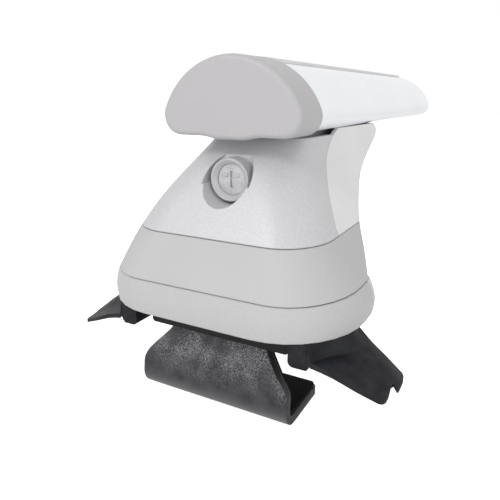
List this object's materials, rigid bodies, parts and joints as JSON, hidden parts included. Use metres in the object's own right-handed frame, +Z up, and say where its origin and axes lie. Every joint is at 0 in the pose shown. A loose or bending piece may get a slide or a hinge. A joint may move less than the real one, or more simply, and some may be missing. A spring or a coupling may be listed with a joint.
{
  "type": "roof rack crossbar",
  "caption": "Lockable clamp foot of a car roof rack with the outboard end of its aero crossbar, a door-frame hook, a rubber pad and a removable cover",
  "frame": {"origin": "on the roof seat, at the middle of the foot's width, 54 mm behind the rim's front", "axes": "+Y runs inboard along the crossbar, across the car; +X runs along the car, to the right in the view from outside; +Z is up"},
  "size_m": [0.201, 0.3823, 0.1922],
  "materials": {
    "silver_aluminium": "satin anodised",
    "grey_rubber": "matte",
    "grey_plastic": "fine grain",
    "band_plastic": "even satin",
    "cover_plastic": "satin",
    "pale_plastic": "fine grain",
    "black_rubber": "smooth",
    "black_steel": "powder coat",
    "coated_steel": "leathery plastic coat",
    "cast_frame": "as cast",
    "zinc_steel": "zinc plated",
    "lock_plastic": "satin",
    "lock_metal": "dull nickel"
  },
  "bodies": {
    "foot": {"foot_frame": "cast_frame", "saddle_liner": "black_rubber", "bar_bolts": "zinc_steel", "bar_washers": "zinc_steel", "bar_nuts": "zinc_steel", "rear_shell": "pale_plastic", "trim_band": "band_plastic", "front_skirt": "grey_plastic", "rear_skirt": "grey_plastic", "base_plate": "black_steel", "plate_screws": "zinc_steel", "shell_screws": "zinc_steel", "roof_pad": "black_rubber", "clamp_nut": "zinc_steel"},
    "bar": {"crossbar": "silver_aluminium", "top_strip": "grey_rubber", "end_cap": "grey_plastic"},
    "hook": {"hook_bracket": "coated_steel", "hook_liner": "black_rubber", "clamp_washer": "zinc_steel"},
    "screw": {"clamp_screw": "zinc_steel"},
    "cover": {"front_cover": "cover_plastic", "lock_housing": "lock_plastic", "lock_nut": "zinc_steel"},
    "lock": {"lock_barrel": "lock_metal", "lock_cam": "zinc_steel", "cam_screw": "zinc_steel"}
  },
  "joints": [
    {"name": "bar_adjust", "type": "slide", "parent": "foot", "child": "bar", "axis": [0, -1, 0], "range_m": [0, 0.1]},
    {"name": "hook_draw", "type": "slide", "parent": "foot", "child": "hook", "axis": [0, 1, 0], "range_m": [0, 0.008]},
    {"name": "screw_turn", "type": "hinge", "parent": "hook", "child": "screw", "pos_m": [0, -0.0185, 0.0615], "axis": [0, 1, 0], "range_deg": [0, 2880]},
    {"name": "cover_removal", "type": "slide", "parent": "foot", "child": "cover", "axis": [0, -1, 0], "range_m": [0, 0.08]},
    {"name": "lock_turn", "type": "hinge", "parent": "cover", "child": "lock", "pos_m": [0, -0.019, 0.0863], "axis": [0, 1, 0], "range_deg": [0, 90]}
  ],
  "couplings": [
    {"joint": "screw_turn", "follows": "hook_draw", "rad_per_m": 6283.2}
  ]
}
